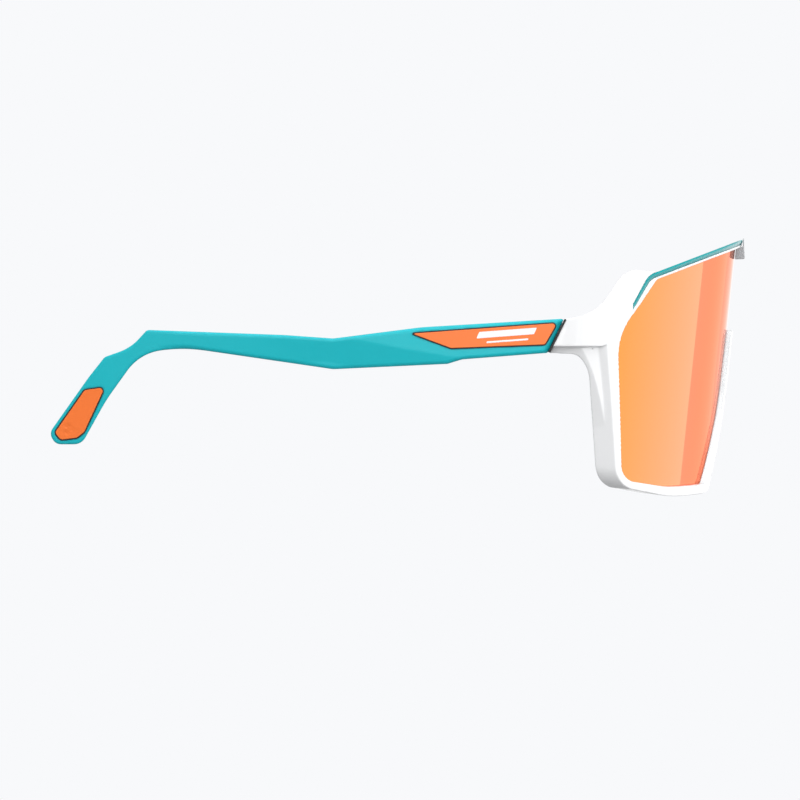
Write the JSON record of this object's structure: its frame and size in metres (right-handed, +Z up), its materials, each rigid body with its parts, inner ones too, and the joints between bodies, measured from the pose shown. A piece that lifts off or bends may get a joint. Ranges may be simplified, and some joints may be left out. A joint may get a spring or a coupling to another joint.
{
  "type": "wraparound sport sunglasses",
  "caption": "Wraparound sport sunglasses: full-rim front with a cylindrical shield lens, folding stepped temples with grip inserts, and adjustable nose pads.",
  "frame": {"origin": "on the surface it stands on, under the middle of its box", "axes": "+X to the wearer's left, +Y from the lens towards the ears, +Z up; the wearer looks along -Y"},
  "size_m": [0.1422, 0.1658, 0.0645],
  "materials": {
    "white_frame": "satin white moulding",
    "orange_lens": "mirror-coated orange polycarbonate",
    "grey_clip": "matt grey moulding",
    "teal_gloss": "glossy metallic teal",
    "teal_arm": "satin teal moulding",
    "orange_badge": "satin orange",
    "orange_rubber": "matt soft rubber",
    "nose_rubber": "matt soft rubber",
    "hinge_metal": "tumbled stainless steel",
    "screw_metal": "turned stainless steel",
    "core_metal": "rolled strip",
    "washer_nylon": "natural nylon"
  },
  "bodies": {
    "front": {"front_frame": "white_frame", "shield_lens": "orange_lens", "brow_clip": "grey_clip", "nose_carrier": "grey_clip", "brow_strip_left": "teal_gloss", "brow_strip_right": "teal_gloss", "hinge_block_left": "hinge_metal", "hinge_block_right": "hinge_metal", "hinge_screw_left": "screw_metal", "hinge_screw_right": "screw_metal", "hinge_washers_left": "washer_nylon", "hinge_washers_right": "washer_nylon"},
    "left_arm": {"temple_left": "teal_arm", "temple_core_left": "core_metal", "temple_badge_left": "orange_badge", "tip_pad_left": "orange_rubber", "hinge_leaf_left": "hinge_metal"},
    "right_arm": {"temple_right": "teal_arm", "temple_core_right": "core_metal", "temple_badge_right": "orange_badge", "tip_pad_right": "orange_rubber", "hinge_leaf_right": "hinge_metal"},
    "left_nose_pad": {"nose_pad_left": "nose_rubber", "nose_wire_left": "screw_metal"},
    "right_nose_pad": {"nose_pad_right": "nose_rubber", "nose_wire_right": "screw_metal"}
  },
  "joints": [
    {"name": "left_fold", "type": "hinge", "parent": "front", "child": "left_arm", "pos_m": [0.0658, -0.03773, 0.03645], "axis": [0, 0.0848, 0.9964], "range_deg": [0, 86]},
    {"name": "right_fold", "type": "hinge", "parent": "front", "child": "right_arm", "pos_m": [-0.0658, -0.03773, 0.03645], "axis": [0, -0.0848, -0.9964], "range_deg": [0, 78]},
    {"name": "left_pad_turn", "type": "hinge", "parent": "front", "child": "left_nose_pad", "pos_m": [0.0084, -0.07117, 0.03211], "axis": [0, -0.0198, 0.9998], "range_deg": [-8, 8]},
    {"name": "right_pad_turn", "type": "hinge", "parent": "front", "child": "right_nose_pad", "pos_m": [-0.0084, -0.07117, 0.03211], "axis": [0, 0.0198, -0.9998], "range_deg": [-8, 8]}
  ]
}
